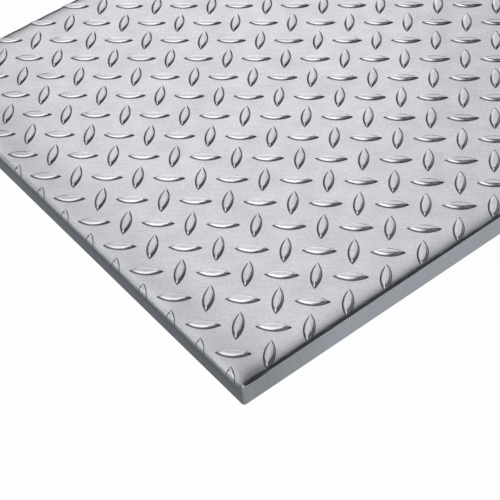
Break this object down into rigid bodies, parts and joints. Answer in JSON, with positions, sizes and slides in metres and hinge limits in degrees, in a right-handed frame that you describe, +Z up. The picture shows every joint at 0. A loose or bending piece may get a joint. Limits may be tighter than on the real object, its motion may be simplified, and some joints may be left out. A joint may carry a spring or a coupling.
{
  "type": "aluminium diamond tread plate",
  "caption": "Thick square aluminium floor plate, flat below, with raised lens-shaped lugs on top that point along the two diagonals by turns for grip.",
  "frame": {"origin": "centre of the underside", "axes": "+Z up out of the tread face, X and Y along the sheared edges"},
  "size_m": [0.4572, 0.4572, 0.0208],
  "materials": {
    "mill_aluminium": "bright mill finish on the tread, duller grey on the sheared edges"
  },
  "bodies": {
    "root": {"tread_plate": "mill_aluminium"}
  },
  "joints": []
}
